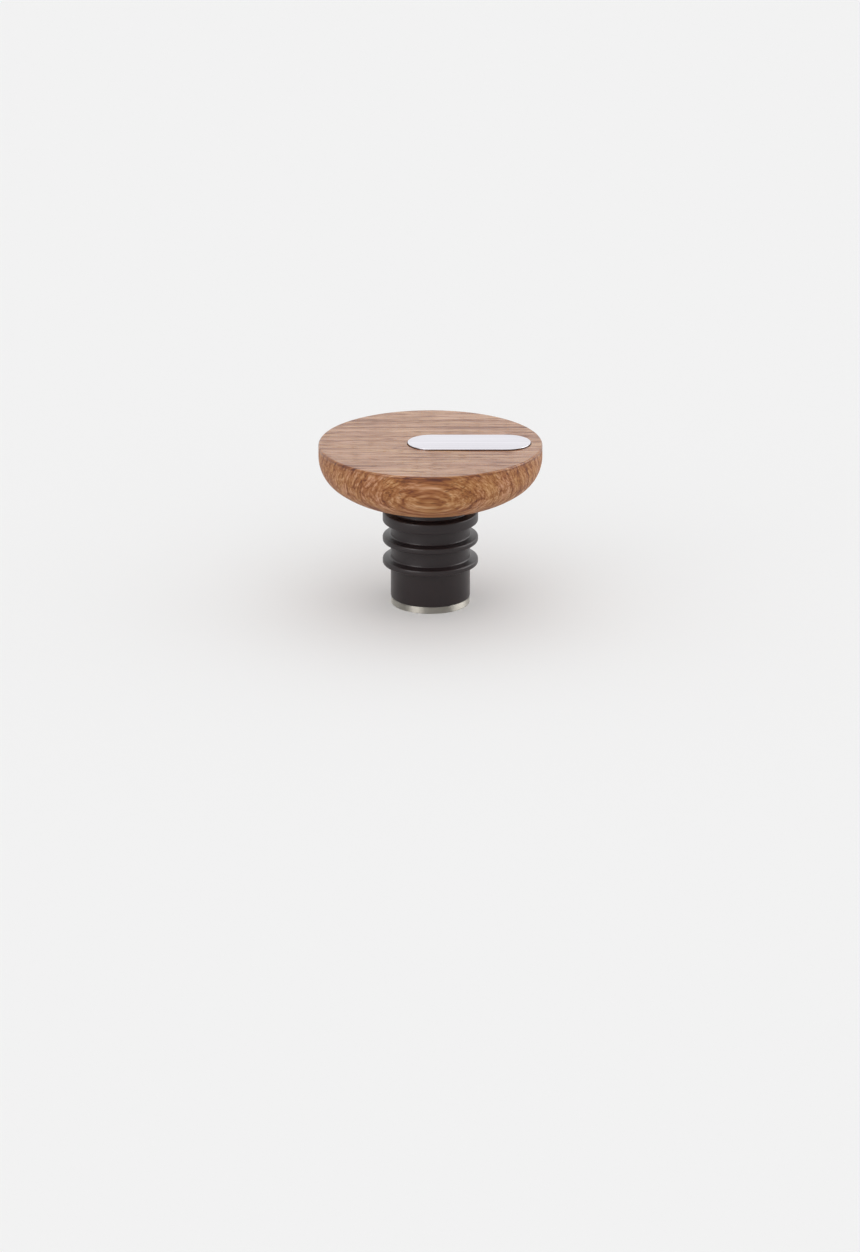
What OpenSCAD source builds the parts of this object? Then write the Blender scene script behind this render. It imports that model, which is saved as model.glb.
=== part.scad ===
// Bottle stopper: a turned oak head on a silicone seal with three sealing lips.
// A stainless steel core runs up through the seal into a brass insert in the head.
// Millimetres. The origin is the centre of the core's base, +Z is up and the
// plate in the top lies towards +X.

/* [Head] */
// Diameter of the turned head
head_d = 50; // [44:0.5:60]
// Height of the head from its underside to its top face
head_h = 13.2; // [12.8:0.1:16]
// Height of the straight rim below the top face
rim_h = 2.8; // [1:0.1:3.6]
// Radius of the tight curve that leads from the rim into the belly
shoulder_r = 8; // [5:0.1:8.8]
// Diameter of the flat underside that the belly runs out to
underside_d = 19.6; // [19:0.1:24]
// Chamfer that breaks the edge of the top face
top_break = 0.4; // [0.2:0.1:0.8]

/* [Plate] */
// Length of the plate over its round ends
plate_l = 27.5; // [20:0.1:30]
// Width of the plate
plate_w = 10.8; // [8:0.1:13]
// Thickness of the plate
plate_t = 1; // [0.6:0.1:1.4]
// Distance from the plate's outer end to the edge of the head
plate_inset = 2.6; // [2:0.1:6]
// Height by which the plate stands above the wood
plate_proud = 0.3; // [0.1:0.05:0.4]
// Gap between the plate and the wall of its pocket
plate_gap = 0.12; // [0.05:0.01:0.3]

/* [Seal] */
// Diameter of the seal's barrel
seal_d = 17.8; // [17:0.1:18.4]
// Length of the seal from the base disc to the head
seal_l = 22.6; // [21.5:0.1:30]
// Chamfer round the barrel's lower edge
seal_break = 0.4; // [0.2:0.1:0.8]
// Number of sealing lips
lip_n = 3; // [2:1:3]
// Diameter over the free lips
lip_d = 21.4; // [20:0.1:22]
// Height of the lowest lip above the base disc
lip_first = 8.5; // [6:0.1:9]
// Spacing of the lips
lip_pitch = 5.2; // [4:0.1:5.4]
// Thickness of a lip at its edge
lip_t = 1.3; // [1:0.1:1.6]
// Thickness of the top lip at its edge
top_lip_t = 2.4; // [1.2:0.1:2.6]
// Rounding of the corners of a lip's edge
lip_round = 0.35; // [0.2:0.05:0.45]
// Growth of a lip's thickness from its edge to the barrel
lip_draft = 0.4; // [0.2:0.1:0.8]

/* [Core] */
// Diameter of the base disc
base_d = 17.6; // [16.5:0.1:18.4]
// Thickness of the base disc
base_t = 1.5; // [1:0.1:3]
// Chamfer round the lower edge of the base disc
base_break = 0.2; // [0.1:0.05:0.4]
// Diameter of the spigot inside the seal
spigot_d = 10; // [9.4:0.1:12]
// Gap between the spigot and the seal's bore
spigot_gap = 0.05; // [0.02:0.01:0.2]
// Diameter of the stud that holds the head
stud_d = 8; // [5:0.1:8.4]
// Length of the stud above the spigot's shoulder
stud_l = 8.5; // [6:0.1:9]
// Depth of the relief groove at the foot of the stud
relief_depth = 0.6; // [0.3:0.1:0.8]
// Width of the relief groove at the foot of the stud
relief_w = 1.2; // [0.8:0.1:2]

/* [Insert] */
// Outside diameter of the insert in the head
insert_d = 11; // [10.4:0.1:13]
// Length of the insert
insert_l = 9.5; // [9:0.1:10]
// Gap between the stud and the insert's bore
stud_gap = 0.05; // [0.02:0.01:0.2]
// Gap between the insert and its socket, filled with adhesive
insert_gap = 0.05; // [0.02:0.01:0.2]
// Space left above the insert in its socket
socket_spare = 0.5; // [0.2:0.1:0.8]
// Depth of the two grooves round the insert
groove_depth = 0.4; // [0.2:0.1:0.6]
// Width of the two grooves round the insert
groove_w = 1; // [0.6:0.1:1.4]
// Chamfer on the ends of the stud and the insert
lead_in = 0.5; // [0.2:0.1:0.8]

/* [Hidden] */
$fn = 96;
// Overlap that carries a cut past the face that it opens
past = 1;

head_z = base_t + seal_l;
top_z = head_z + head_h;

// Centre of the shoulder's arc, seen from the axis and the underside
shoulder_x = head_d / 2 - shoulder_r;
shoulder_z = head_h - rim_h;
// The belly's arc meets the flat underside and the shoulder's arc without a corner
belly_x = underside_d / 2;
run = shoulder_x - belly_x;
belly_r = (run * run + shoulder_z * shoulder_z - shoulder_r * shoulder_r) / (2 * (shoulder_z - shoulder_r));
// Slope of the line through both centres, on which the two arcs meet
meet_x = run / (belly_r - shoulder_r);
meet_z = (shoulder_z - belly_r) / (belly_r - shoulder_r);

pocket_depth = plate_t - plate_proud;
plate_run = plate_l - plate_w;
plate_x = head_d / 2 - plate_inset - plate_l / 2;
socket_d = insert_d + 2 * insert_gap;
socket_depth = insert_l + socket_spare;
seal_bore_d = spigot_d + 2 * spigot_gap;
insert_bore_d = stud_d + 2 * stud_gap;

// Half section that cuts a chamfer off an outer edge: up is 1 on a top edge, -1 on a lower one
module edge_cut(r, z, size, up) {
    polygon([
        [r - size, z],
        [r + past, z - up * (size + past)],
        [r + past, z + up * past],
        [r - size, z + up * past],
    ]);
}

// Half section of a groove cut round a shaft or a bush of diameter d
module groove_cut(d, z, width, depth) {
    translate([d / 2 - depth, z])
        square([depth + past, width]);
}

// Half section of the head, with its underside at zero
module head_section() {
    difference() {
        union() {
            square([belly_x, head_h]);
            translate([0, shoulder_z])
                square([head_d / 2, rim_h]);
            intersection() {
                translate([shoulder_x, shoulder_z])
                    circle(shoulder_r);
                square([head_d / 2, head_h]);
            }
            intersection() {
                translate([belly_x, belly_r])
                    circle(belly_r);
                polygon([
                    [0, 0],
                    [belly_x + meet_x * belly_r, 0],
                    [belly_x + meet_x * belly_r, belly_r + meet_z * belly_r],
                    [shoulder_x, shoulder_z],
                    [0, shoulder_z],
                ]);
            }
        }
        edge_cut(head_d / 2, head_h, top_break, 1);
    }
}

// Outline of the plate, with its round ends, grown by a margin
module plate_outline(margin) {
    square([plate_run, plate_w + 2 * margin], center = true);
    for (side = [-1, 1])
        translate([side * plate_run / 2, 0])
            circle(plate_w / 2 + margin);
}

module wood_head() {
    color([0.68, 0.49, 0.36])
        difference() {
            translate([0, 0, head_z])
                rotate_extrude()
                    head_section();
            translate([plate_x, 0, top_z - pocket_depth])
                linear_extrude(pocket_depth + past)
                    plate_outline(plate_gap);
            translate([0, 0, head_z - past])
                cylinder(h = socket_depth + past, d = socket_d);
        }
}

module inlay_plate() {
    color([0.92, 0.92, 0.94])
        translate([plate_x, 0, top_z - pocket_depth])
            linear_extrude(plate_t)
                plate_outline(0);
}

module threaded_insert() {
    color([0.80, 0.66, 0.36])
        translate([0, 0, head_z])
            rotate_extrude()
                difference() {
                    translate([insert_bore_d / 2, 0])
                        square([(insert_d - insert_bore_d) / 2, insert_l]);
                    for (part = [1, 2])
                        groove_cut(insert_d, part * insert_l / 3 - groove_w / 2, groove_w, groove_depth);
                    edge_cut(insert_d / 2, insert_l, lead_in, 1);
                }
}

// Half section of one lip: drafted flanks from inside the barrel to an edge with round corners
module lip_section(edge_t) {
    root_x = seal_bore_d / 2;
    corner_x = lip_d / 2 - lip_round;
    corner_z = edge_t / 2 - lip_round;
    spread = lip_draft / 2 * (corner_x - root_x) / (corner_x - seal_d / 2);
    polygon([
        [root_x, -edge_t / 2 - spread],
        [corner_x, -edge_t / 2],
        [corner_x, edge_t / 2],
        [root_x, edge_t / 2 + spread],
    ]);
    translate([root_x, -corner_z])
        square([lip_d / 2 - root_x, 2 * corner_z]);
    for (side = [-1, 1])
        translate([corner_x, side * corner_z])
            circle(lip_round);
}

module silicone_seal() {
    color([0.13, 0.12, 0.13])
        translate([0, 0, base_t])
            rotate_extrude() {
                difference() {
                    translate([seal_bore_d / 2, 0])
                        square([(seal_d - seal_bore_d) / 2, seal_l]);
                    edge_cut(seal_d / 2, 0, seal_break, -1);
                }
                for (lip = [0 : lip_n - 1])
                    translate([0, lip_first + lip * lip_pitch])
                        lip_section(lip == lip_n - 1 ? top_lip_t : lip_t);
            }
}

module steel_core() {
    color([0.75, 0.74, 0.72])
        rotate_extrude()
            difference() {
                union() {
                    square([base_d / 2, base_t]);
                    square([spigot_d / 2, head_z]);
                    square([stud_d / 2, head_z + stud_l]);
                }
                edge_cut(base_d / 2, 0, base_break, -1);
                groove_cut(stud_d, head_z, relief_w, relief_depth);
                edge_cut(stud_d / 2, head_z + stud_l, lead_in, 1);
            }
}

wood_head();
inlay_plate();
threaded_insert();
silicone_seal();
steel_core();
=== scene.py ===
import math

import bmesh
import bpy
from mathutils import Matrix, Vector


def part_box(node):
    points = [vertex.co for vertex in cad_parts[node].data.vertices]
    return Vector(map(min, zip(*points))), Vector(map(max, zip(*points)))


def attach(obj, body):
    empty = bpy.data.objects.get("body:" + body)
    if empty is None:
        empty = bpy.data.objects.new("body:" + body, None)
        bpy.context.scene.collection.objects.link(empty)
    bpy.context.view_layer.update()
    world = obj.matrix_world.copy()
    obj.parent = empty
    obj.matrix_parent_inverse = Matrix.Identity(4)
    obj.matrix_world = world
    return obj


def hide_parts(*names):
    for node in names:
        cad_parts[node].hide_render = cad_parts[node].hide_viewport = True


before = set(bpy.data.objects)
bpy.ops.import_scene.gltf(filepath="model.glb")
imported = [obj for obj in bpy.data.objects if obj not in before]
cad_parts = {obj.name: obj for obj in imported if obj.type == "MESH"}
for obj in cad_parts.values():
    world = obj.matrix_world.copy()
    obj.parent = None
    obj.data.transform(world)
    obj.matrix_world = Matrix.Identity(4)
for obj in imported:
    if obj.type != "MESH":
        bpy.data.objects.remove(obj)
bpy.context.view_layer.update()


# Camera
# A long lens about 1.5 m away, level from side to side, looks down on the head.
# The middle of the top face lands on its own pixel of the picture.
MM = 0.001
IMAGE_W, IMAGE_H = 860, 1252
TOP_MIDDLE_PX = (430.4, 443.15)
PX_PER_MM = 4.48
CAMERA_DISTANCE = 1.5
LOOK_DOWN = math.radians(17.58)
SENSOR_LONG_SIDE = 36.0
FAR_AWAY = 20.0

top_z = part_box("wood_head")[1].z
focal_px = PX_PER_MM * CAMERA_DISTANCE / MM
above_centre = math.atan((IMAGE_H / 2 - TOP_MIDDLE_PX[1]) / focal_px)
right_of_centre = (TOP_MIDDLE_PX[0] - IMAGE_W / 2) / PX_PER_MM * MM

camera_data = bpy.data.cameras.new("camera")
camera_data.sensor_width = SENSOR_LONG_SIDE
camera_data.lens = focal_px * SENSOR_LONG_SIDE / IMAGE_H
camera_data.clip_end = FAR_AWAY
camera = bpy.data.objects.new("camera", camera_data)
camera.location = (
    -right_of_centre,
    -CAMERA_DISTANCE * math.cos(LOOK_DOWN),
    top_z + CAMERA_DISTANCE * math.sin(LOOK_DOWN),
)
camera.rotation_euler = (math.pi / 2 - LOOK_DOWN - above_centre, 0, 0)
bpy.context.scene.collection.objects.link(camera)
bpy.context.scene.camera = camera
bpy.context.scene.view_settings.view_transform = "Standard"


# Floor
# A wide sheet of matt pale paper, which runs on far past the view on every side. From below it can
# be seen through, and it has a hole under the base disc, so that the stopper's underside shows too.
PAPER = "#f2f2f2"
PAPER_R = 8.0
HOLE_INSET = 0.2


def linear(hex_colour):
    """The linear colour of an sRGB hex value."""
    parts = [int(hex_colour[i : i + 2], 16) / 255 for i in (1, 3, 5)]
    return [p / 12.92 if p <= 0.04045 else ((p + 0.055) / 1.055) ** 2.4 for p in parts] + [1.0]


def add_node(tree, kind, inputs=None, **settings):
    """Adds a node to a tree with its settings, and feeds its inputs with sockets or with values."""
    node = tree.nodes.new(kind)
    for name, value in settings.items():
        setattr(node, name, value)
    for name, value in (inputs or {}).items():
        if isinstance(value, bpy.types.NodeSocket):
            tree.links.new(value, node.inputs[name])
        else:
            node.inputs[name].default_value = value
    return node


def start_material(name, **values):
    """A node material: gives it, its tree and its principled shader, which is joined to the output."""
    material = bpy.data.materials.new(name)
    material.use_nodes = True
    tree = material.node_tree
    tree.nodes.clear()
    shader = add_node(tree, "ShaderNodeBsdfPrincipled", {k.replace("_", " "): v for k, v in values.items()})
    add_node(tree, "ShaderNodeOutputMaterial", {"Surface": shader.outputs[0]})
    return material, tree, shader


def make_piece(bm, name, material, sharp_above=35):
    """Turns a bmesh into an object with smooth faces that break at its sharp edges."""
    bmesh.ops.recalc_face_normals(bm, faces=bm.faces)
    for face in bm.faces:
        face.smooth = True
    for edge in bm.edges:
        edge.smooth = not edge.is_manifold or edge.calc_face_angle() < math.radians(sharp_above)
    mesh = bpy.data.meshes.new(name)
    bm.to_mesh(mesh)
    bm.free()
    mesh.materials.append(material)
    piece = bpy.data.objects.new(name, mesh)
    bpy.context.scene.collection.objects.link(piece)
    return piece


# Matt paper: no gloss, so it stays one even tone and takes only soft shadows. It is clear from behind.
paper, tree, shader = start_material(
    "matt_paper",
    Base_Color=linear(PAPER),
    Roughness=1.0,
    Specular_IOR_Level=0.0,
)
below = add_node(tree, "ShaderNodeNewGeometry").outputs["Backfacing"]
clear = add_node(tree, "ShaderNodeBsdfTransparent").outputs[0]
one_sided = add_node(tree, "ShaderNodeMixShader", {0: below, 1: shader.outputs[0], 2: clear}).outputs[0]
tree.links.new(one_sided, tree.nodes["Material Output"].inputs["Surface"])

hole_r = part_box("steel_core")[1].x - HOLE_INSET * MM
bm = bmesh.new()
bmesh.ops.create_circle(bm, segments=64, radius=hole_r)
drawn_out = bmesh.ops.extrude_edge_only(bm, edges=bm.edges[:])["geom"]
outer_verts = [part for part in drawn_out if isinstance(part, bmesh.types.BMVert)]
bmesh.ops.scale(bm, verts=outer_verts, vec=(PAPER_R / hole_r, PAPER_R / hole_r, 1))
floor = make_piece(bm, "floor", paper)
# An open sheet comes out with its face down
floor.data.flip_normals()


# Studio light
# Wide soft lamps on both sides and behind, in a white room that fills up what they leave, so that the
# paper shows as the colour it is. Gloss sees the room's walls: bright at the sides and behind the
# stopper, dark round the camera, under a pale ceiling.
LAMPS = {
    # name: degrees round from the camera, degrees up, degrees across, strength
    "soft_left": (-50, 24, 36, 0.11),
    "soft_right": (98, 24, 50, 0.07),
    "soft_front": (4, 40, 70, 0.42),
    "soft_back": (175, 60, 60, 0.18),
}
# How the walls look to gloss, against the paper: degrees round from the camera, brightness
WALLS = (
    (-180, 1.42), (-110, 1.42), (-95, 0.7), (-68, 0.7), (-54, 5.5), (-34, 5.5), (-20, 0.55),
    (58, 0.55), (70, 0.6), (78, 5.0), (118, 5.0), (132, 1.42), (180, 1.42),
)
CEILING = 1.3
# Where the walls turn into the ceiling, as the upward part of a look of length 1
WALL_TOP, CEILING_START = 0.55, 0.9

from_lamps = 0
for name, (around, up, wide, strength) in LAMPS.items():
    lamp_data = bpy.data.lights.new(name, "SUN")
    lamp_data.energy = strength
    lamp_data.angle = math.radians(wide)
    lamp = bpy.data.objects.new(name, lamp_data)
    lamp.rotation_euler = (math.radians(90 - up), 0, math.radians(around))
    bpy.context.scene.collection.objects.link(lamp)
    from_lamps += strength * math.sin(math.radians(up)) / math.pi

world = bpy.data.worlds.new("studio")
world.use_nodes = True
tree = world.node_tree
tree.nodes.clear()
look = add_node(tree, "ShaderNodeTexCoord").outputs["Generated"]
look = add_node(tree, "ShaderNodeSeparateXYZ", {0: look}).outputs
to_camera = add_node(tree, "ShaderNodeMath", {0: look["Y"], 1: -1.0}, operation="MULTIPLY").outputs[0]
around = add_node(tree, "ShaderNodeMath", {0: look["X"], 1: to_camera}, operation="ARCTAN2").outputs[0]
around = add_node(
    tree,
    "ShaderNodeMapRange",
    {"Value": around, "From Min": -math.pi, "From Max": math.pi},
).outputs["Result"]
walls = add_node(tree, "ShaderNodeFloatCurve", {"Value": around})
curve = walls.mapping.curves[0]
walls.mapping.use_clip = False
curve.points[0].location = (0.0, WALLS[0][1])
curve.points[1].location = (1.0, WALLS[-1][1])
for degrees, level in WALLS[1:-1]:
    curve.points.new((degrees + 180) / 360, level)
walls.mapping.update()
above = add_node(
    tree,
    "ShaderNodeMapRange",
    {"Value": look["Z"], "From Min": WALL_TOP, "From Max": CEILING_START},
).outputs["Result"]
mirrored = add_node(tree, "ShaderNodeMix", {0: above, 2: walls.outputs[0], 3: CEILING}).outputs[0]
white = (1, 1, 1, 1)
shown = add_node(tree, "ShaderNodeBackground", {"Color": white, "Strength": 1 - from_lamps}).outputs[0]
ray = add_node(tree, "ShaderNodeLightPath").outputs
for kind, strength in (("Is Glossy Ray", mirrored), ("Is Transmission Ray", 1.0), ("Is Camera Ray", 1.0)):
    seen = add_node(tree, "ShaderNodeBackground", {"Color": linear(PAPER), "Strength": strength}).outputs[0]
    shown = add_node(tree, "ShaderNodeMixShader", {0: ray[kind], 1: shown, 2: seen}).outputs[0]
add_node(tree, "ShaderNodeOutputWorld", {"Surface": shown})
bpy.context.scene.world = world


# Oak head
# A disc of oak, turned on a lathe and sanded, with its grain running from left to right.
# The top is flat, with a pocket for the plate; under a short upright rim the side curves in
# tightly and then runs out in a long belly to the flat underside and its socket.
HEAD_RIM = 2.8
SHOULDER_R = 8.0
UNDERSIDE_R = 9.8
EDGE_ROUND = 0.4
SOCKET_R = 5.55
SOCKET_DEPTH = 10.0
PLATE_GAP = 0.12
MOUTH_BREAK = 0.06
TURN_STEPS = 256
SAME_PLACE = 0.002


def line_to(bm, start, radius, height):
    """Runs a half section on in a straight line, in millimetres."""
    end = bmesh.ops.extrude_vert_indiv(bm, verts=[start])["verts"][0]
    end.co = (radius * MM, 0, height * MM)
    return end


def arc_to(bm, start, centre, degrees, steps):
    """Runs a half section on in an arc about a centre, from up towards out and down."""
    swept = bmesh.ops.spin(
        bm,
        geom=[start],
        cent=(centre[0] * MM, 0, centre[1] * MM),
        axis=(0, 1, 0),
        angle=math.radians(degrees),
        steps=steps,
    )
    return swept["geom_last"][0]


def turn(bm):
    """Turns a half section once round the upright axis and closes its seam and poles."""
    bmesh.ops.spin(
        bm,
        geom=bm.verts[:] + bm.edges[:],
        cent=(0, 0, 0),
        axis=(0, 0, 1),
        angle=2 * math.pi,
        steps=TURN_STEPS,
        use_merge=True,
    )
    bmesh.ops.remove_doubles(bm, verts=bm.verts, dist=SAME_PLACE * MM)


def round_ended(bm, low, high, grow, height):
    """Draws an outline with round ends along X between two corners, and gives its edges."""
    before = set(bm.edges)
    half = (high.y - low.y) / 2
    right = (high.x - half, 0, height * MM)
    left = (low.x + half, 0, height * MM)
    first = bm.verts.new((right[0], -half - grow * MM, right[2]))
    half_turn = {"axis": (0, 0, 1), "angle": math.pi, "steps": 32}
    point = bmesh.ops.spin(bm, geom=[first], cent=right, **half_turn)["geom_last"][0]
    end = bmesh.ops.extrude_vert_indiv(bm, verts=[point])["verts"][0]
    end.co.x = left[0]
    point = bmesh.ops.spin(bm, geom=[end], cent=left, **half_turn)["geom_last"][0]
    bm.edges.new((point, first))
    return [edge for edge in bm.edges if edge not in before]


def break_edges(bm, edges, size, segments=3):
    """Rounds edges over by a size in millimetres."""
    bmesh.ops.bevel(
        bm,
        geom=edges,
        offset=size * MM,
        offset_type="OFFSET",
        segments=segments,
        profile=0.5,
        affect="EDGES",
        material=-1,
    )


head_low, head_high = (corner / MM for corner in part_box("wood_head"))
plate_low, plate_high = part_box("inlay_plate")
shoulder = (head_high.x - SHOULDER_R, head_high.z - HEAD_RIM)
rise = shoulder[1] - head_low.z
run = shoulder[0] - UNDERSIDE_R
belly_r = (run**2 + rise**2 - SHOULDER_R**2) / (2 * (rise - SHOULDER_R))
meeting = math.degrees(math.acos(run / (belly_r - SHOULDER_R)))

bm = bmesh.new()
point = bm.verts.new(((head_high.x - EDGE_ROUND) * MM, 0, head_high.z * MM))
point = arc_to(bm, point, (head_high.x - EDGE_ROUND, head_high.z - EDGE_ROUND), 90, 6)
point = line_to(bm, point, head_high.x, shoulder[1])
point = arc_to(bm, point, shoulder, meeting, 20)
point = arc_to(bm, point, (UNDERSIDE_R, head_low.z + belly_r), 90 - meeting, 16)
point = line_to(bm, point, SOCKET_R, head_low.z)
point = line_to(bm, point, SOCKET_R, head_low.z + SOCKET_DEPTH)
point = line_to(bm, point, 0, head_low.z + SOCKET_DEPTH)
turn(bm)
rim = [edge for edge in bm.edges if edge.is_boundary]
mouth = round_ended(bm, plate_low, plate_high, PLATE_GAP, head_high.z)
bmesh.ops.triangle_fill(bm, edges=rim + mouth, normal=(0, 0, 1), use_beauty=True)
sunk = bmesh.ops.extrude_edge_only(bm, edges=mouth)["geom"]
pocket_floor = [part for part in sunk if isinstance(part, bmesh.types.BMVert)]
bmesh.ops.translate(bm, verts=pocket_floor, vec=(0, 0, plate_low.z - head_high.z * MM))
floor_edges = [part for part in sunk if isinstance(part, bmesh.types.BMEdge) and part.is_boundary]
bmesh.ops.contextual_create(bm, geom=floor_edges)
break_edges(bm, mouth, MOUTH_BREAK, 2)

# Oak, turned, sanded and oiled: each year's ring starts with a band of open pores and ends in dense wood.
# The top is sanded smoothest, so the pale room shows in it and its straight lines look washed out. On
# the matt side the rings are cut across: arcs in front, end grain at the ends, warm brown all round.
# Sizes are in mm along the log, outwards from its pith and round it. Real fibres are about 0.02 mm
# across; the finest pattern here is drawn at 0.13 mm, so that it shows.
OAK_TONES = ((0.12, "#552004"), (0.32, "#7b4214"), (0.5, "#975f2e"), (0.68, "#b48258"), (0.88, "#cca17c"))
OAK_ROSY = (1.0, 0.97, 1.14, 1.0)
OAK_GOLDEN = (1.01, 1.02, 0.88, 1.0)
PORE_DARK = "#45240f"
# The log's pith, behind the axis and above the head's underside
PITH = (22.0, 27.0)
LOG_R = 40.0
WAVE = (34.0, 12.0, 12.0)
WAVE_HEIGHT = 1.5
RING_WIDTH = 2.4
RING_UNEVEN = (400.0, 6.0, 400.0)
YEARS_UNEVEN = 1.8
# How open the wood is as a year runs from 0 to 1
SPRING = ((0.05, 1.0), (0.16, 0.8), (0.3, 0.1))
RING_FADE = (11.0, 1.6, 5.0)
STRAND = (6.0, 0.24, 0.6)
FIBRE = (10.0, 0.22, 1.2)
HAIR = (14.0, 0.13, 0.13)
STREAK = (26.0, 0.6, 5.0)
LINE = (15.0, 1.3, 3.0)
LINE_WIDTH = 0.06
CLOUD = (20.0, 6.0, 6.0)
BLUSH = (10.0, 1.6, 5.0)
PORE_SPACING = (3.4, 0.25, 0.25)
PORE_R = 0.38
PORE_CORE_R = 0.152
PORES_IN_SPRING, PORES_ALL_YEAR = 0.6, 0.26
PORE_SHADE = 0.75
PORE_DEPTH = 0.04
PORE_ROUGH = 0.8
# Nearly all of a noise, and of the tone, lies between these
USUAL = {"From Min": 0.3, "From Max": 0.7}
TOP_ROUGH = {"To Min": 0.36, "To Max": 0.14}
SIDE_ROUGH = 0.6
SIDE_START = 1.2


def spread(tree, vector, spacing, kind="ShaderNodeTexNoise", **inputs):
    """The outputs of a texture whose pattern has the given spacing along each axis of the vector."""
    scaled = add_node(tree, "ShaderNodeVectorMath", {0: vector, 1: spacing}, operation="DIVIDE").outputs[0]
    return add_node(tree, kind, {"Vector": scaled, "Scale": 1.0, **inputs}).outputs


oak, tree, shader = start_material("turned_oak")
place = add_node(tree, "ShaderNodeTexCoord").outputs["Object"]
in_mm = add_node(tree, "ShaderNodeVectorMath", {0: place, "Scale": 1 / MM}, operation="SCALE").outputs[0]

# Where each point lay in the log: along it, outwards from its pith and round it
pith = (0.0, PITH[0], head_low.z + PITH[1])
from_pith = add_node(tree, "ShaderNodeVectorMath", {0: in_mm, 1: pith}, operation="SUBTRACT").outputs[0]
parts = add_node(tree, "ShaderNodeSeparateXYZ", {0: from_pith}).outputs
flat = add_node(tree, "ShaderNodeVectorMath", {0: from_pith, 1: (0, 1, 1)}, operation="MULTIPLY").outputs[0]
outwards = add_node(tree, "ShaderNodeVectorMath", {0: flat}, operation="LENGTH").outputs["Value"]
angle = add_node(tree, "ShaderNodeMath", {0: parts["Z"], 1: parts["Y"]}, operation="ARCTAN2").outputs[0]
round_log = add_node(tree, "ShaderNodeMath", {0: angle, 1: LOG_R}, operation="MULTIPLY").outputs[0]
in_log = add_node(tree, "ShaderNodeCombineXYZ", {0: parts["X"], 1: outwards, 2: round_log}).outputs[0]
bend = spread(tree, in_log, WAVE, Detail=1.0)["Color"]
bend = add_node(tree, "ShaderNodeVectorMath", {0: bend, 1: (0.5,) * 3}, operation="SUBTRACT").outputs[0]
grain = add_node(
    tree,
    "ShaderNodeVectorMath",
    {0: bend, 1: (WAVE_HEIGHT,) * 3, 2: in_log},
    operation="MULTIPLY_ADD",
).outputs[0]

# The rings, counted outwards, and how far the year has run at each point
across = add_node(tree, "ShaderNodeSeparateXYZ", {0: grain}).outputs["Y"]
years = add_node(tree, "ShaderNodeMath", {0: across, 1: RING_WIDTH}, operation="DIVIDE").outputs[0]
uneven = spread(tree, in_log, RING_UNEVEN, Detail=0.0)["Fac"]
years = add_node(
    tree,
    "ShaderNodeMath",
    {0: uneven, 1: YEARS_UNEVEN, 2: years},
    operation="MULTIPLY_ADD",
).outputs[0]
season = add_node(tree, "ShaderNodeMath", {0: years}, operation="FRACT").outputs[0]
spring = add_node(tree, "ShaderNodeFloatCurve", {"Value": season})
curve = spring.mapping.curves[0]
curve.points[0].location = (0.0, 0.0)
curve.points[1].location = (1.0, 0.0)
for at, level in SPRING:
    curve.points.new(at, level)
spring.mapping.update()
spring = spring.outputs[0]

# Light and dark: strands, fibres, hairs, streaks and clouds, the dark start of each year where it
# doesn't fade, thin dark lines, and a darker band painted along the rounded edge of the top face
fibre = spread(tree, grain, FIBRE, Detail=2.0, Roughness=0.55)["Fac"]
strand = spread(tree, grain, STRAND, "ShaderNodeTexVoronoi")["Color"]
strand = add_node(tree, "ShaderNodeSeparateColor", {0: strand}).outputs[0]
fade = spread(tree, grain, RING_FADE, Detail=1.0)["Fac"]
faded = add_node(tree, "ShaderNodeMath", {0: spring, 1: fade}, operation="MULTIPLY").outputs[0]
line = spread(tree, grain, LINE, Detail=1.0)["Fac"]
line = add_node(tree, "ShaderNodeMath", {0: line, 1: 0.5}, operation="SUBTRACT").outputs[0]
line = add_node(tree, "ShaderNodeMath", {0: line}, operation="ABSOLUTE").outputs[0]
line = add_node(
    tree,
    "ShaderNodeMapRange",
    {"Value": line, "From Max": LINE_WIDTH, "To Min": 1.0, "To Max": 0.0},
).outputs["Result"]
line = add_node(tree, "ShaderNodeMath", {0: line, 1: fade}, operation="MULTIPLY").outputs[0]
up = add_node(tree, "ShaderNodeSeparateXYZ", {0: in_mm}).outputs["Z"]
# A darker band is painted along the rounded edge of the top face
edge_z = head_high.z - EDGE_ROUND
from_edge = add_node(tree, "ShaderNodeMath", {0: up, 1: edge_z}, operation="SUBTRACT").outputs[0]
from_edge = add_node(tree, "ShaderNodeMath", {0: from_edge}, operation="ABSOLUTE").outputs[0]
edge = add_node(
    tree,
    "ShaderNodeMapRange",
    {"Value": from_edge, "From Max": EDGE_ROUND, "To Min": 1.0, "To Max": 0.0},
).outputs["Result"]
tone = 0.5
for pattern, share, usual in (
    # pattern, its share of the tone, its usual level
    (strand, 0.12, 0.5),
    (fibre, 0.85, 0.5),
    (spread(tree, grain, HAIR, Detail=2.0)["Fac"], 0.6, 0.5),
    (spread(tree, grain, STREAK, Detail=4.0, Roughness=0.6)["Fac"], 0.6, 0.5),
    (spread(tree, grain, CLOUD, Detail=1.0)["Fac"], 0.2, 0.5),
    (faded, -0.28, 0.12),
    (line, -0.34, 0.12),
    (edge, -0.14, 0.0),
):
    pattern = add_node(tree, "ShaderNodeMath", {0: pattern, 1: usual}, operation="SUBTRACT").outputs[0]
    tone = add_node(
        tree,
        "ShaderNodeMath",
        {0: pattern, 1: share, 2: tone},
        operation="MULTIPLY_ADD",
    ).outputs[0]
ramp = add_node(tree, "ShaderNodeValToRGB", {"Fac": tone})
elements = ramp.color_ramp.elements
while len(elements) < len(OAK_TONES):
    elements.new(0.5)
for element, (at, colour) in zip(elements, OAK_TONES):
    element.position = at
    element.color = linear(colour)
blush = spread(tree, grain, BLUSH, Detail=1.0)["Fac"]
blush = add_node(tree, "ShaderNodeMapRange", {"Value": blush, **USUAL}).outputs["Result"]
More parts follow.
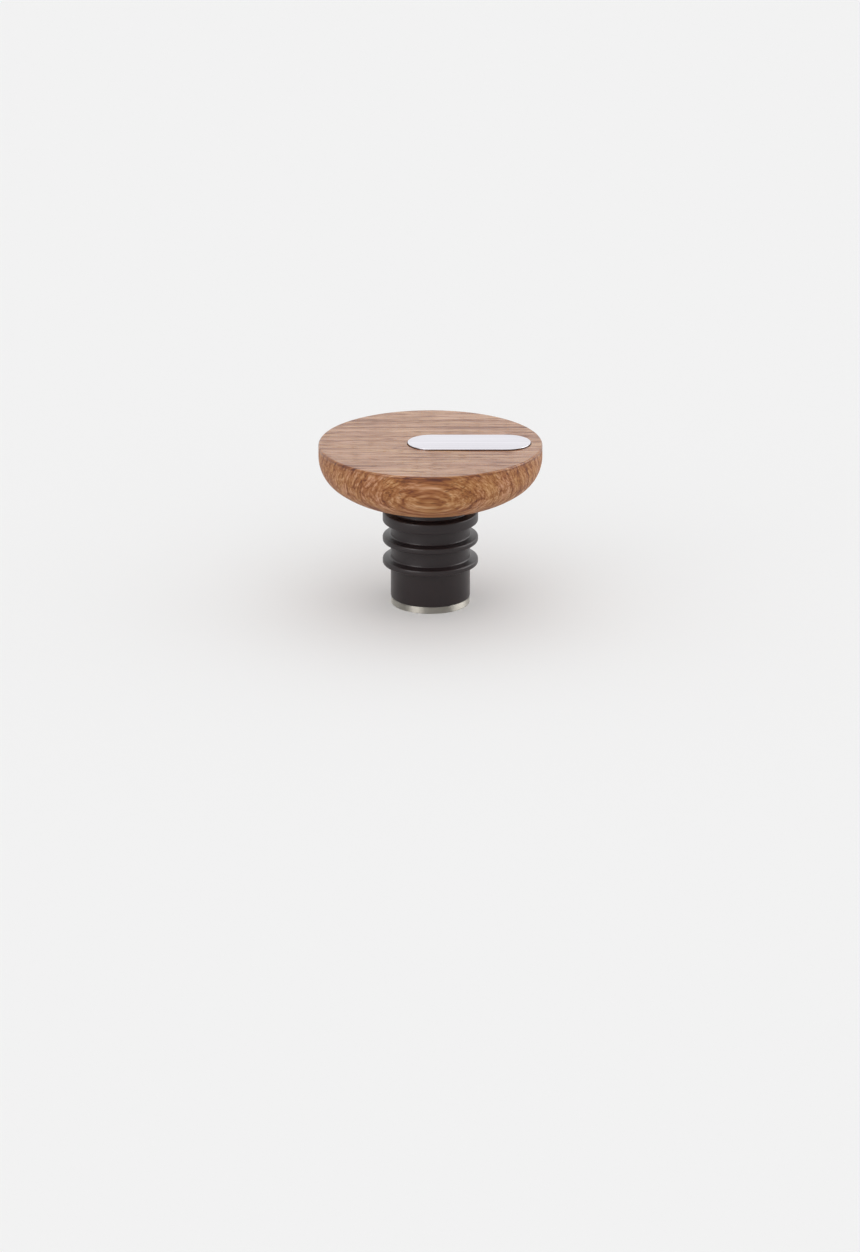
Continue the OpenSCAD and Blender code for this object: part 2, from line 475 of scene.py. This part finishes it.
tint = add_node(tree, "ShaderNodeMix", {0: blush, 6: OAK_GOLDEN, 7: OAK_ROSY}, data_type="RGBA").outputs[2]
wood = add_node(
    tree,
    "ShaderNodeMix",
    {0: 1.0, 6: ramp.outputs["Color"], 7: tint},
    data_type="RGBA",
    blend_type="MULTIPLY",
).outputs[2]

# Pores: long thin tubes along the grain, crowded at the start of each year
pores = spread(tree, grain, PORE_SPACING, "ShaderNodeTexVoronoi")
crowd = add_node(
    tree,
    "ShaderNodeMath",
    {0: spring, 1: PORES_IN_SPRING, 2: PORES_ALL_YEAR},
    operation="MULTIPLY_ADD",
).outputs[0]
luck = add_node(tree, "ShaderNodeSeparateColor", {0: pores["Color"]}).outputs[0]
open_here = add_node(tree, "ShaderNodeMath", {0: luck, 1: crowd}, operation="LESS_THAN").outputs[0]
hole = add_node(
    tree,
    "ShaderNodeMapRange",
    {"Value": pores["Distance"], "From Min": PORE_R, "From Max": PORE_CORE_R},
).outputs["Result"]
hole = add_node(tree, "ShaderNodeMath", {0: hole, 1: open_here}, operation="MULTIPLY").outputs[0]
shade = add_node(tree, "ShaderNodeMath", {0: hole, 1: PORE_SHADE}, operation="MULTIPLY").outputs[0]
pore_dark = linear(PORE_DARK)
wood = add_node(tree, "ShaderNodeMix", {0: shade, 6: wood, 7: pore_dark}, data_type="RGBA").outputs[2]

# Gloss: dense wood takes the best polish on the top, the side is left matt, and pores are rough
top_rough = add_node(tree, "ShaderNodeMapRange", {"Value": tone, **USUAL, **TOP_ROUGH}).outputs["Result"]
surface_rough = add_node(
    tree,
    "ShaderNodeMapRange",
    {
        "Value": up,
        "From Min": edge_z,
        "From Max": head_high.z - SIDE_START,
        "To Min": top_rough,
        "To Max": SIDE_ROUGH,
    },
).outputs["Result"]
rough = add_node(
    tree,
    "ShaderNodeMapRange",
    {"Value": hole, "To Min": surface_rough, "To Max": PORE_ROUGH},
).outputs["Result"]
height = add_node(tree, "ShaderNodeMath", {0: hole, 1: -1.0, 2: fibre}, operation="MULTIPLY_ADD").outputs[0]
bump = add_node(
    tree,
    "ShaderNodeBump",
    {"Height": height, "Strength": 0.5, "Distance": PORE_DEPTH * MM},
).outputs[0]
tree.links.new(wood, shader.inputs["Base Color"])
tree.links.new(rough, shader.inputs["Roughness"])
tree.links.new(bump, shader.inputs["Normal"])

head = make_piece(bm, "oak_head", oak)
head.modifiers.new("flat_faces_stay_flat", "WEIGHTED_NORMAL").keep_sharp = True
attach(head, "root")
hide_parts("wood_head")


# Plate
# A stadium of satin aluminium, blanked and brushed along its length, with its upper edge broken.
# It is glued into its pocket and stands a little above the wood. It is bare.
PLATE_EDGE = 0.09

bm = bmesh.new()
outline = round_ended(bm, plate_low, plate_high, 0, plate_low.z / MM)
under = bmesh.ops.contextual_create(bm, geom=outline)["faces"]
raised = bmesh.ops.extrude_face_region(bm, geom=under)["geom"]
top_verts = [part for part in raised if isinstance(part, bmesh.types.BMVert)]
bmesh.ops.translate(bm, verts=top_verts, vec=(0, 0, plate_high.z - plate_low.z))
break_edges(bm, [e for e in bm.edges if all(v in top_verts for v in e.verts)], PLATE_EDGE)

# Brushed aluminium: fine scratches along the plate blur what it mirrors, so it looks like pale satin.
# They are drawn 0.09 mm wide, coarser than a brush leaves them, and lie in slightly duller and brighter
# bands. The side is painted dark as painted shade, so a thin dark line of shade runs round the plate.
ALUMINIUM = "#d3d1d7"
ALUMINIUM_DULL = "#c5c3c9"
# Painted shade: the side's dark colour stands in for the shade along the plate's edge
PAINTED_SHADE_SIDE = "#787274"
SHADE_BLEND = 0.03
BRUSHING = (14.0, 0.09, 0.09)
BRUSHED_BANDS = (30.0, 0.7, 0.7)
BRUSH_DEPTH = 0.004
BRUSHED_ROUGH = {"To Min": 0.26, "To Max": 0.42}

aluminium, tree, shader = start_material("brushed_aluminium", Metallic=1.0)
place = add_node(tree, "ShaderNodeTexCoord").outputs["Object"]
in_mm = add_node(tree, "ShaderNodeVectorMath", {0: place, "Scale": 1 / MM}, operation="SCALE").outputs[0]
up = add_node(tree, "ShaderNodeSeparateXYZ", {0: in_mm}).outputs["Z"]
side_top = plate_high.z / MM - PLATE_EDGE
above_painted_shade = add_node(
    tree,
    "ShaderNodeMapRange",
    {"Value": up, "From Min": side_top - SHADE_BLEND, "From Max": side_top},
).outputs["Result"]
bands = spread(tree, in_mm, BRUSHED_BANDS, Detail=3.0)["Fac"]
bands = add_node(tree, "ShaderNodeMapRange", {"Value": bands, **USUAL}).outputs["Result"]
face = add_node(
    tree,
    "ShaderNodeMix",
    {0: bands, 6: linear(ALUMINIUM_DULL), 7: linear(ALUMINIUM)},
    data_type="RGBA",
).outputs[2]
# Painted shade: below its rounded top edge the plate's side takes the dark colour
colour = add_node(
    tree,
    "ShaderNodeMix",
    {0: above_painted_shade, 6: linear(PAINTED_SHADE_SIDE), 7: face},
    data_type="RGBA",
).outputs[2]
brush = spread(tree, in_mm, BRUSHING, Detail=3.0, Roughness=0.7)["Fac"]
rough = add_node(tree, "ShaderNodeMapRange", {"Value": brush, **BRUSHED_ROUGH}).outputs["Result"]
bump = add_node(tree, "ShaderNodeBump", {"Height": brush, "Distance": BRUSH_DEPTH * MM}).outputs[0]
tree.links.new(colour, shader.inputs["Base Color"])
tree.links.new(rough, shader.inputs["Roughness"])
tree.links.new(bump, shader.inputs["Normal"])

plate = make_piece(bm, "satin_plate", aluminium)
plate.modifiers.new("flat_faces_stay_flat", "WEIGHTED_NORMAL").keep_sharp = True
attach(plate, "root")
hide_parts("inlay_plate")


# Seal
# One moulding of black silicone: a barrel that is stretched over the core, with three lips that
# press against the neck of a bottle. The top lip is about twice as thick as the other two.
BARREL_R = 8.9
BORE_R = 5.05
LIP_R = 10.7
LIP_HEIGHTS = (8.5, 13.7, 18.9)
LIP_EDGES = (1.3, 1.3, 2.4)
LIP_DRAFT = 0.4
LIP_ROUND = 0.35
ROOT_ROUND = 0.3
BARREL_BREAK = 0.35


def round_corners(bm, corners, size, segments=4):
    """Rounds corners of a half section by a size in millimetres."""
    bmesh.ops.bevel(
        bm,
        geom=corners,
        offset=size * MM,
        offset_type="OFFSET",
        segments=segments,
        profile=0.5,
        affect="VERTICES",
        material=-1,
    )


seal_low, seal_high = (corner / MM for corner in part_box("silicone_seal"))
bm = bmesh.new()
first = bm.verts.new((BORE_R * MM, 0, seal_low.z * MM))
foot = line_to(bm, first, BARREL_R, seal_low.z)
point = foot
roots, edges = [], []
for height, thick in zip(LIP_HEIGHTS, LIP_EDGES):
    middle = seal_low.z + height
    root = (thick + LIP_DRAFT) / 2
    roots.append(line_to(bm, point, BARREL_R, middle - root))
    edges.append(line_to(bm, roots[-1], LIP_R, middle - thick / 2))
    edges.append(line_to(bm, edges[-1], LIP_R, middle + thick / 2))
    roots.append(line_to(bm, edges[-1], BARREL_R, middle + root))
    point = roots[-1]
point = line_to(bm, point, BARREL_R, seal_high.z)
point = line_to(bm, point, BORE_R, seal_high.z)
bm.edges.new((point, first))
round_corners(bm, edges, LIP_ROUND)
round_corners(bm, roots, ROOT_ROUND)
round_corners(bm, [foot], BARREL_BREAK)
turn(bm)

# Silicone rubber, moulded in a fine-blasted mould: black with a breath of brown and a soft, satin gloss
# that handling makes uneven. The mould's grain is drawn at 0.22 mm, coarser than blasting leaves it.
SILICONE = "#251d1e"
MOULD_GRAIN = (0.22, 0.22, 0.22)
GRAIN_DEPTH = 0.006
SMEAR = (6.0, 6.0, 3.0)
SMEAR_ROUGH = {"To Min": 0.30, "To Max": 0.46}

silicone, tree, shader = start_material("moulded_silicone", Base_Color=linear(SILICONE), IOR=1.4)
place = add_node(tree, "ShaderNodeTexCoord").outputs["Object"]
in_mm = add_node(tree, "ShaderNodeVectorMath", {0: place, "Scale": 1 / MM}, operation="SCALE").outputs[0]
speckle = spread(tree, in_mm, MOULD_GRAIN, Detail=2.0)["Fac"]
smear = spread(tree, in_mm, SMEAR, Detail=2.0)["Fac"]
rough = add_node(tree, "ShaderNodeMapRange", {"Value": smear, **SMEAR_ROUGH}).outputs["Result"]
bump = add_node(tree, "ShaderNodeBump", {"Height": speckle, "Distance": GRAIN_DEPTH * MM}).outputs[0]
tree.links.new(rough, shader.inputs["Roughness"])
tree.links.new(bump, shader.inputs["Normal"])

seal = make_piece(bm, "lipped_seal", silicone)
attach(seal, "root")
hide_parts("silicone_seal")


# Core
# A stainless steel turning: a base disc that holds the seal from below, a spigot inside the seal
# and a stud that screws into the head.
DISC_T = 1.5
DISC_BREAK = 0.2
SPIGOT_R = 5.0
STUD_R = 4.0
RELIEF_DEPTH = 0.6
RELIEF_W = 1.2
LEAD_IN = 0.5

core_low, core_high = (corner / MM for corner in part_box("steel_core"))
bm = bmesh.new()
point = bm.verts.new((0, 0, 0))
disc_foot = line_to(bm, point, core_high.x, core_low.z)
disc_top = line_to(bm, disc_foot, core_high.x, DISC_T)
point = line_to(bm, disc_top, SPIGOT_R, DISC_T)
point = line_to(bm, point, SPIGOT_R, head_low.z)
point = line_to(bm, point, STUD_R - RELIEF_DEPTH, head_low.z)
point = line_to(bm, point, STUD_R - RELIEF_DEPTH, head_low.z + RELIEF_W)
point = line_to(bm, point, STUD_R, head_low.z + RELIEF_W)
point = line_to(bm, point, STUD_R, core_high.z - LEAD_IN)
point = line_to(bm, point, STUD_R - LEAD_IN, core_high.z)
line_to(bm, point, 0, core_high.z)
round_corners(bm, [disc_foot], DISC_BREAK)
round_corners(bm, [disc_top], DISC_BREAK / 2)
turn(bm)

# Turned stainless steel: the tool leaves fine rings round the disc and across its face, which stretch
# what it mirrors into soft upright bands. They are drawn at 0.12 mm, coarser than a tool leaves them.
STEEL = "#aba79f"
TOOL_MARKS = 0.12
MARK_DEPTH = 0.003
TURNED_ROUGH = {"To Min": 0.50, "To Max": 0.64}

steel, tree, shader = start_material(
    "turned_steel",
    Base_Color=linear(STEEL),
    Metallic=1.0,
    Anisotropic=0.95,
    Anisotropic_Rotation=0.25,
)
place = add_node(tree, "ShaderNodeTexCoord").outputs["Object"]
in_mm = add_node(tree, "ShaderNodeVectorMath", {0: place, "Scale": 1 / MM}, operation="SCALE").outputs[0]
parts = add_node(tree, "ShaderNodeSeparateXYZ", {0: in_mm}).outputs
flat = add_node(tree, "ShaderNodeVectorMath", {0: in_mm, 1: (1, 1, 0)}, operation="MULTIPLY").outputs[0]
radius = add_node(tree, "ShaderNodeVectorMath", {0: flat}, operation="LENGTH").outputs["Value"]
travel = add_node(tree, "ShaderNodeMath", {0: radius, 1: parts["Z"]}, operation="ADD").outputs[0]
marks = add_node(
    tree,
    "ShaderNodeTexNoise",
    {"W": travel, "Scale": 1 / TOOL_MARKS, "Detail": 3.0},
    noise_dimensions="1D",
).outputs["Fac"]
rough = add_node(tree, "ShaderNodeMapRange", {"Value": marks, **TURNED_ROUGH}).outputs["Result"]
bump = add_node(tree, "ShaderNodeBump", {"Height": marks, "Distance": MARK_DEPTH * MM}).outputs[0]
rings = add_node(tree, "ShaderNodeTangent", direction_type="RADIAL", axis="Z").outputs[0]
tree.links.new(rough, shader.inputs["Roughness"])
tree.links.new(bump, shader.inputs["Normal"])
tree.links.new(rings, shader.inputs["Tangent"])

core = make_piece(bm, "turned_core", steel)
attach(core, "root")
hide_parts("steel_core")


# Insert
# A brass bush, glued into the head's socket, that takes the core's stud. It is hidden inside the head,
# so the solid itself is shown, in turned brass: yellow, with faint rings 0.15 mm apart.
BRASS = "#c9a458"
BRASS_MARKS = (40.0, 40.0, 0.15)
BRASS_ROUGH = {"To Min": 0.25, "To Max": 0.45}

brass, tree, shader = start_material("turned_brass", Base_Color=linear(BRASS), Metallic=1.0)
place = add_node(tree, "ShaderNodeTexCoord").outputs["Object"]
in_mm = add_node(tree, "ShaderNodeVectorMath", {0: place, "Scale": 1 / MM}, operation="SCALE").outputs[0]
marks = spread(tree, in_mm, BRASS_MARKS, Detail=2.0)["Fac"]
rough = add_node(tree, "ShaderNodeMapRange", {"Value": marks, **BRASS_ROUGH}).outputs["Result"]
tree.links.new(rough, shader.inputs["Roughness"])
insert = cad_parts["threaded_insert"]
for finish in insert.material_slots:
    finish.material = brass
